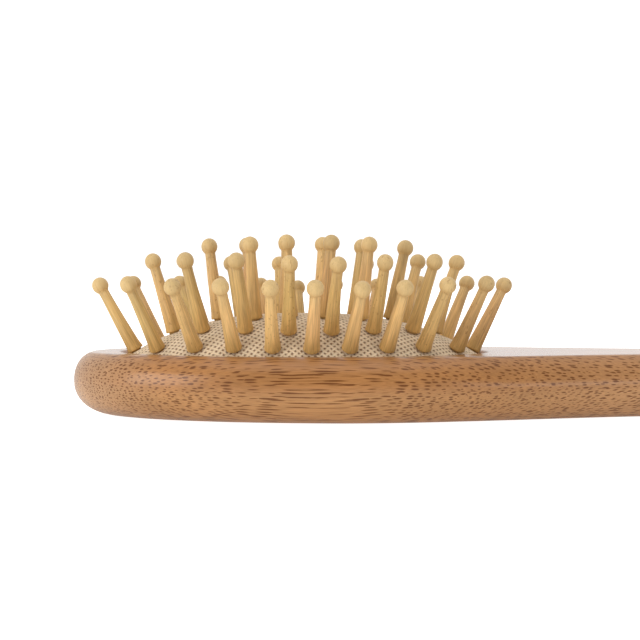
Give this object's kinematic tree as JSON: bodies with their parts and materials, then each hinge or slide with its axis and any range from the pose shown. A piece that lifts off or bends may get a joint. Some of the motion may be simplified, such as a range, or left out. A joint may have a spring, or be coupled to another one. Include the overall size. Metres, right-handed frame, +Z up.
{
  "type": "paddle brush",
  "caption": "Oval cushioned hair brush with a laminated bamboo body, a domed rubber cushion with a woven face, and ball-ended wooden pins that tilt and sink with the cushion.",
  "frame": {"origin": "middle of the flat back, under the middle of the overall length and width, with the brush lying on its back", "axes": "+X from the head's tip to the handle's end, +Z up through the cushion and the pins, +Y across the head"},
  "size_m": [0.222, 0.065, 0.0404],
  "materials": {
    "bamboo_body": "warm laminated bamboo with dark fibre flecks under a satin lacquer",
    "natural_rubber": "matte natural rubber",
    "woven_face": "cream open plain weave bonded to the rubber",
    "bamboo_pin": "pale smooth bamboo with fine lengthwise fibres"
  },
  "bodies": {
    "brush": {"brush_body": "bamboo_body"},
    "cushion": {"rubber_cushion": "natural_rubber", "fabric_face": "woven_face"},
    "pin_outer_01": {"pin_outer_01": "bamboo_pin"},
    "pin_outer_02": {"pin_outer_02": "bamboo_pin"},
    "pin_outer_03": {"pin_outer_03": "bamboo_pin"},
    "pin_outer_04": {"pin_outer_04": "bamboo_pin"},
    "pin_outer_05": {"pin_outer_05": "bamboo_pin"},
    "pin_outer_06": {"pin_outer_06": "bamboo_pin"},
    "pin_outer_07": {"pin_outer_07": "bamboo_pin"},
    "pin_outer_08": {"pin_outer_08": "bamboo_pin"},
    "pin_outer_09": {"pin_outer_09": "bamboo_pin"},
    "pin_outer_10": {"pin_outer_10": "bamboo_pin"},
    "pin_outer_11": {"pin_outer_11": "bamboo_pin"},
    "pin_outer_12": {"pin_outer_12": "bamboo_pin"},
    "pin_outer_13": {"pin_outer_13": "bamboo_pin"},
    "pin_outer_14": {"pin_outer_14": "bamboo_pin"},
    "pin_outer_15": {"pin_outer_15": "bamboo_pin"},
    "pin_outer_16": {"pin_outer_16": "bamboo_pin"},
    "pin_outer_17": {"pin_outer_17": "bamboo_pin"},
    "pin_outer_18": {"pin_outer_18": "bamboo_pin"},
    "pin_outer_19": {"pin_outer_19": "bamboo_pin"},
    "pin_outer_20": {"pin_outer_20": "bamboo_pin"},
    "pin_middle_01": {"pin_middle_01": "bamboo_pin"},
    "pin_middle_02": {"pin_middle_02": "bamboo_pin"},
    "pin_middle_03": {"pin_middle_03": "bamboo_pin"},
    "pin_middle_04": {"pin_middle_04": "bamboo_pin"},
    "pin_middle_05": {"pin_middle_05": "bamboo_pin"},
    "pin_middle_06": {"pin_middle_06": "bamboo_pin"},
    "pin_middle_07": {"pin_middle_07": "bamboo_pin"},
    "pin_middle_08": {"pin_middle_08": "bamboo_pin"},
    "pin_middle_09": {"pin_middle_09": "bamboo_pin"},
    "pin_middle_10": {"pin_middle_10": "bamboo_pin"},
    "pin_middle_11": {"pin_middle_11": "bamboo_pin"},
    "pin_middle_12": {"pin_middle_12": "bamboo_pin"},
    "pin_middle_13": {"pin_middle_13": "bamboo_pin"},
    "pin_middle_14": {"pin_middle_14": "bamboo_pin"},
    "pin_inner_01": {"pin_inner_01": "bamboo_pin"},
    "pin_inner_02": {"pin_inner_02": "bamboo_pin"},
    "pin_inner_03": {"pin_inner_03": "bamboo_pin"},
    "pin_inner_04": {"pin_inner_04": "bamboo_pin"},
    "pin_inner_05": {"pin_inner_05": "bamboo_pin"},
    "pin_inner_06": {"pin_inner_06": "bamboo_pin"},
    "pin_inner_07": {"pin_inner_07": "bamboo_pin"},
    "pin_inner_08": {"pin_inner_08": "bamboo_pin"},
    "pin_inner_09": {"pin_inner_09": "bamboo_pin"},
    "pin_inner_10": {"pin_inner_10": "bamboo_pin"}
  },
  "joints": [
    {"name": "cushion_press", "type": "slide", "parent": "brush", "child": "cushion", "axis": [0, 0, -1], "range_m": [0, 0.002], "stiffness_N_per_m": 3000, "deforming": ["rubber_cushion", "fabric_face"]},
    {"name": "tilt_outer_01", "type": "hinge", "parent": "cushion", "child": "pin_outer_01", "pos_m": [-0.09197, -0.00934, 0.01498], "axis": [1, 0, 0], "range_deg": [-8, 8], "stiffness_Nm_per_rad": 0.03},
    {"name": "tilt_outer_02", "type": "hinge", "parent": "cushion", "child": "pin_outer_02", "pos_m": [-0.08368, -0.01478, 0.01546], "axis": [1, 0, 0], "range_deg": [-8, 8], "stiffness_Nm_per_rad": 0.03},
    {"name": "tilt_outer_03", "type": "hinge", "parent": "cushion", "child": "pin_outer_03", "pos_m": [-0.07538, -0.01792, 0.0156], "axis": [1, 0, 0], "range_deg": [-8, 8], "stiffness_Nm_per_rad": 0.03},
    {"name": "tilt_outer_04", "type": "hinge", "parent": "cushion", "child": "pin_outer_04", "pos_m": [-0.06709, -0.01971, 0.01555], "axis": [1, 0, 0], "range_deg": [-8, 8], "stiffness_Nm_per_rad": 0.03},
    {"name": "tilt_outer_05", "type": "hinge", "parent": "cushion", "child": "pin_outer_05", "pos_m": [-0.0588, -0.02035, 0.01546], "axis": [1, 0, 0], "range_deg": [-8, 8], "stiffness_Nm_per_rad": 0.03},
    {"name": "tilt_outer_06", "type": "hinge", "parent": "cushion", "child": "pin_outer_06", "pos_m": [-0.05051, -0.01971, 0.01555], "axis": [1, 0, 0], "range_deg": [-8, 8], "stiffness_Nm_per_rad": 0.03},
    {"name": "tilt_outer_07", "type": "hinge", "parent": "cushion", "child": "pin_outer_07", "pos_m": [-0.04222, -0.01792, 0.0156], "axis": [1, 0, 0], "range_deg": [-8, 8], "stiffness_Nm_per_rad": 0.03},
    {"name": "tilt_outer_08", "type": "hinge", "parent": "cushion", "child": "pin_outer_08", "pos_m": [-0.03392, -0.01478, 0.01546], "axis": [1, 0, 0], "range_deg": [-8, 8], "stiffness_Nm_per_rad": 0.03},
    {"name": "tilt_outer_09", "type": "hinge", "parent": "cushion", "child": "pin_outer_09", "pos_m": [-0.02563, -0.00934, 0.01498], "axis": [1, 0, 0], "range_deg": [-8, 8], "stiffness_Nm_per_rad": 0.03},
    {"name": "tilt_outer_10", "type": "hinge", "parent": "cushion", "child": "pin_outer_10", "pos_m": [-0.09197, 0.00934, 0.01498], "axis": [1, 0, 0], "range_deg": [-8, 8], "stiffness_Nm_per_rad": 0.03},
    {"name": "tilt_outer_11", "type": "hinge", "parent": "cushion", "child": "pin_outer_11", "pos_m": [-0.08368, 0.01478, 0.01546], "axis": [1, 0, 0], "range_deg": [-8, 8], "stiffness_Nm_per_rad": 0.03},
    {"name": "tilt_outer_12", "type": "hinge", "parent": "cushion", "child": "pin_outer_12", "pos_m": [-0.07538, 0.01792, 0.0156], "axis": [1, 0, 0], "range_deg": [-8, 8], "stiffness_Nm_per_rad": 0.03},
    {"name": "tilt_outer_13", "type": "hinge", "parent": "cushion", "child": "pin_outer_13", "pos_m": [-0.06709, 0.01971, 0.01555], "axis": [1, 0, 0], "range_deg": [-8, 8], "stiffness_Nm_per_rad": 0.03},
    {"name": "tilt_outer_14", "type": "hinge", "parent": "cushion", "child": "pin_outer_14", "pos_m": [-0.0588, 0.02035, 0.01546], "axis": [1, 0, 0], "range_deg": [-8, 8], "stiffness_Nm_per_rad": 0.03},
    {"name": "tilt_outer_15", "type": "hinge", "parent": "cushion", "child": "pin_outer_15", "pos_m": [-0.05051, 0.01971, 0.01555], "axis": [1, 0, 0], "range_deg": [-8, 8], "stiffness_Nm_per_rad": 0.03},
    {"name": "tilt_outer_16", "type": "hinge", "parent": "cushion", "child": "pin_outer_16", "pos_m": [-0.04222, 0.01792, 0.0156], "axis": [1, 0, 0], "range_deg": [-8, 8], "stiffness_Nm_per_rad": 0.03},
    {"name": "tilt_outer_17", "type": "hinge", "parent": "cushion", "child": "pin_outer_17", "pos_m": [-0.03392, 0.01478, 0.01546], "axis": [1, 0, 0], "range_deg": [-8, 8], "stiffness_Nm_per_rad": 0.03},
    {"name": "tilt_outer_18", "type": "hinge", "parent": "cushion", "child": "pin_outer_18", "pos_m": [-0.02563, 0.00934, 0.01498], "axis": [1, 0, 0], "range_deg": [-8, 8], "stiffness_Nm_per_rad": 0.03},
    {"name": "tilt_outer_19", "type": "hinge", "parent": "cushion", "child": "pin_outer_19", "pos_m": [-0.0971, 0, 0.0143], "axis": [1, 0, 0], "range_deg": [-8, 8], "stiffness_Nm_per_rad": 0.03},
    {"name": "tilt_outer_20", "type": "hinge", "parent": "cushion", "child": "pin_outer_20", "pos_m": [-0.0205, 0, 0.0143], "axis": [1, 0, 0], "range_deg": [-8, 8], "stiffness_Nm_per_rad": 0.03},
    {"name": "tilt_middle_01", "type": "hinge", "parent": "cushion", "child": "pin_middle_01", "pos_m": [-0.08213, -0.00865, 0.01905], "axis": [1, 0, 0], "range_deg": [-8, 8], "stiffness_Nm_per_rad": 0.03},
    {"name": "tilt_middle_02", "type": "hinge", "parent": "cushion", "child": "pin_middle_02", "pos_m": [-0.0728, -0.01325, 0.01924], "axis": [1, 0, 0], "range_deg": [-8, 8], "stiffness_Nm_per_rad": 0.03},
    {"name": "tilt_middle_03", "type": "hinge", "parent": "cushion", "child": "pin_middle_03", "pos_m": [-0.06347, -0.01544, 0.01908], "axis": [1, 0, 0], "range_deg": [-8, 8], "stiffness_Nm_per_rad": 0.03},
    {"name": "tilt_middle_04", "type": "hinge", "parent": "cushion", "child": "pin_middle_04", "pos_m": [-0.05413, -0.01544, 0.01908], "axis": [1, 0, 0], "range_deg": [-8, 8], "stiffness_Nm_per_rad": 0.03},
    {"name": "tilt_middle_05", "type": "hinge", "parent": "cushion", "child": "pin_middle_05", "pos_m": [-0.0448, -0.01325, 0.01924], "axis": [1, 0, 0], "range_deg": [-8, 8], "stiffness_Nm_per_rad": 0.03},
    {"name": "tilt_middle_06", "type": "hinge", "parent": "cushion", "child": "pin_middle_06", "pos_m": [-0.03547, -0.00865, 0.01905], "axis": [1, 0, 0], "range_deg": [-8, 8], "stiffness_Nm_per_rad": 0.03},
    {"name": "tilt_middle_07", "type": "hinge", "parent": "cushion", "child": "pin_middle_07", "pos_m": [-0.08213, 0.00865, 0.01905], "axis": [1, 0, 0], "range_deg": [-8, 8], "stiffness_Nm_per_rad": 0.03},
    {"name": "tilt_middle_08", "type": "hinge", "parent": "cushion", "child": "pin_middle_08", "pos_m": [-0.0728, 0.01325, 0.01924], "axis": [1, 0, 0], "range_deg": [-8, 8], "stiffness_Nm_per_rad": 0.03},
    {"name": "tilt_middle_09", "type": "hinge", "parent": "cushion", "child": "pin_middle_09", "pos_m": [-0.06347, 0.01544, 0.01908], "axis": [1, 0, 0], "range_deg": [-8, 8], "stiffness_Nm_per_rad": 0.03},
    {"name": "tilt_middle_10", "type": "hinge", "parent": "cushion", "child": "pin_middle_10", "pos_m": [-0.05413, 0.01544, 0.01908], "axis": [1, 0, 0], "range_deg": [-8, 8], "stiffness_Nm_per_rad": 0.03},
    {"name": "tilt_middle_11", "type": "hinge", "parent": "cushion", "child": "pin_middle_11", "pos_m": [-0.0448, 0.01325, 0.01924], "axis": [1, 0, 0], "range_deg": [-8, 8], "stiffness_Nm_per_rad": 0.03},
    {"name": "tilt_middle_12", "type": "hinge", "parent": "cushion", "child": "pin_middle_12", "pos_m": [-0.03547, 0.00865, 0.01905], "axis": [1, 0, 0], "range_deg": [-8, 8], "stiffness_Nm_per_rad": 0.03},
    {"name": "tilt_middle_13", "type": "hinge", "parent": "cushion", "child": "pin_middle_13", "pos_m": [-0.08852, 0, 0.0184], "axis": [1, 0, 0], "range_deg": [-8, 8], "stiffness_Nm_per_rad": 0.03},
    {"name": "tilt_middle_14", "type": "hinge", "parent": "cushion", "child": "pin_middle_14", "pos_m": [-0.02908, 0, 0.0184], "axis": [1, 0, 0], "range_deg": [-8, 8], "stiffness_Nm_per_rad": 0.03},
    {"name": "tilt_inner_01", "type": "hinge", "parent": "cushion", "child": "pin_inner_01", "pos_m": [-0.07064, -0.00685, 0.02177], "axis": [1, 0, 0], "range_deg": [-8, 8], "stiffness_Nm_per_rad": 0.03},
    {"name": "tilt_inner_02", "type": "hinge", "parent": "cushion", "child": "pin_inner_02", "pos_m": [-0.06275, -0.00769, 0.02215], "axis": [1, 0, 0], "range_deg": [-8, 8], "stiffness_Nm_per_rad": 0.03},
    {"name": "tilt_inner_03", "type": "hinge", "parent": "cushion", "child": "pin_inner_03", "pos_m": [-0.05485, -0.00769, 0.02215], "axis": [1, 0, 0], "range_deg": [-8, 8], "stiffness_Nm_per_rad": 0.03},
    {"name": "tilt_inner_04", "type": "hinge", "parent": "cushion", "child": "pin_inner_04", "pos_m": [-0.04696, -0.00685, 0.02177], "axis": [1, 0, 0], "range_deg": [-8, 8], "stiffness_Nm_per_rad": 0.03},
    {"name": "tilt_inner_05", "type": "hinge", "parent": "cushion", "child": "pin_inner_05", "pos_m": [-0.07064, 0.00685, 0.02177], "axis": [1, 0, 0], "range_deg": [-8, 8], "stiffness_Nm_per_rad": 0.03},
    {"name": "tilt_inner_06", "type": "hinge", "parent": "cushion", "child": "pin_inner_06", "pos_m": [-0.06275, 0.00769, 0.02215], "axis": [1, 0, 0], "range_deg": [-8, 8], "stiffness_Nm_per_rad": 0.03},
    {"name": "tilt_inner_07", "type": "hinge", "parent": "cushion", "child": "pin_inner_07", "pos_m": [-0.05485, 0.00769, 0.02215], "axis": [1, 0, 0], "range_deg": [-8, 8], "stiffness_Nm_per_rad": 0.03},
    {"name": "tilt_inner_08", "type": "hinge", "parent": "cushion", "child": "pin_inner_08", "pos_m": [-0.04696, 0.00685, 0.02177], "axis": [1, 0, 0], "range_deg": [-8, 8], "stiffness_Nm_per_rad": 0.03},
    {"name": "tilt_inner_09", "type": "hinge", "parent": "cushion", "child": "pin_inner_09", "pos_m": [-0.07833, 0, 0.02132], "axis": [1, 0, 0], "range_deg": [-8, 8], "stiffness_Nm_per_rad": 0.03},
    {"name": "tilt_inner_10", "type": "hinge", "parent": "cushion", "child": "pin_inner_10", "pos_m": [-0.03927, 0, 0.02132], "axis": [1, 0, 0], "range_deg": [-8, 8], "stiffness_Nm_per_rad": 0.03}
  ]
}
